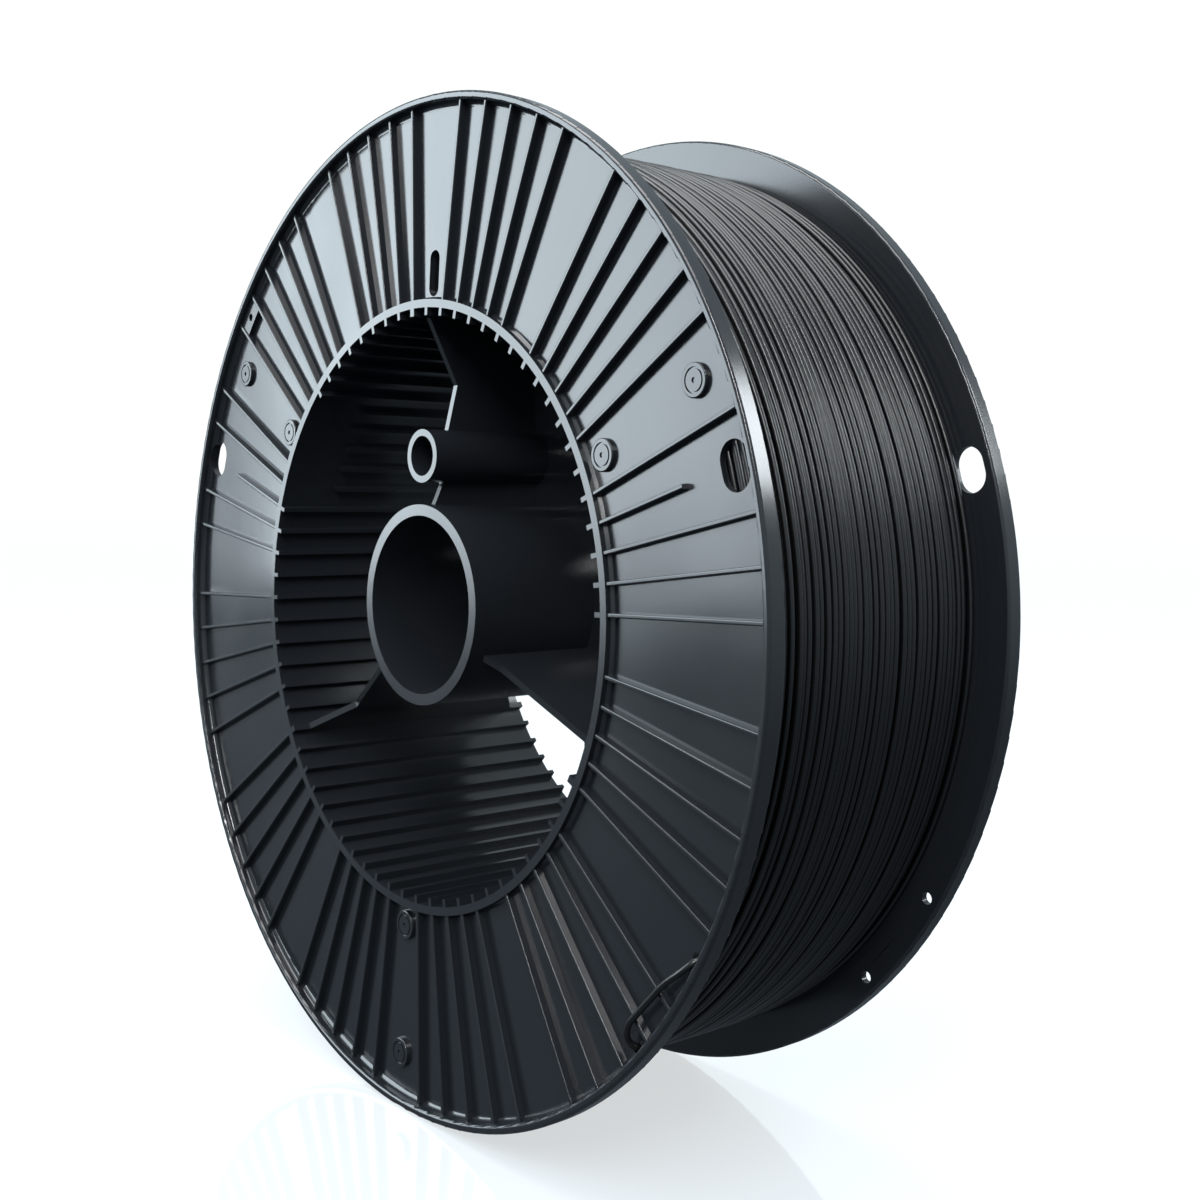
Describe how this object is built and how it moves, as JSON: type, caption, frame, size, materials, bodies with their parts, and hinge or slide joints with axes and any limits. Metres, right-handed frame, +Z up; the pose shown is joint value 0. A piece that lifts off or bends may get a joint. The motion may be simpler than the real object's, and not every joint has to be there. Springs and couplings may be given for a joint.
{
  "type": "filament spool",
  "caption": "Large black plastic 3-D printer filament spool with ribbed flanges, a ribbed open hub on a central tube, and dark matte filament wound between the flanges.",
  "frame": {"origin": "centre of the spool: on its axis, half way between the flanges' outer faces", "axes": "Y is the spool's axis and -Y points out of the front flange, which has the loose filament end; Z is up as it stands on its rims"},
  "size_m": [0.3, 0.0953, 0.3],
  "materials": {
    "spool_plastic": "smooth semi-gloss moulded black plastic",
    "filament": "matte black, finely grained"
  },
  "bodies": {
    "root": {"flange_front": "spool_plastic", "flange_rear": "spool_plastic", "drum_front": "spool_plastic", "drum_rear": "spool_plastic", "core_tube_front": "spool_plastic", "core_tube_rear": "spool_plastic", "drive_tube_front": "spool_plastic", "drive_tube_rear": "spool_plastic", "webs_front": "spool_plastic", "webs_rear": "spool_plastic", "hub_divider": "spool_plastic", "filament_winding": "filament", "filament_tail": "filament"}
  },
  "joints": []
}
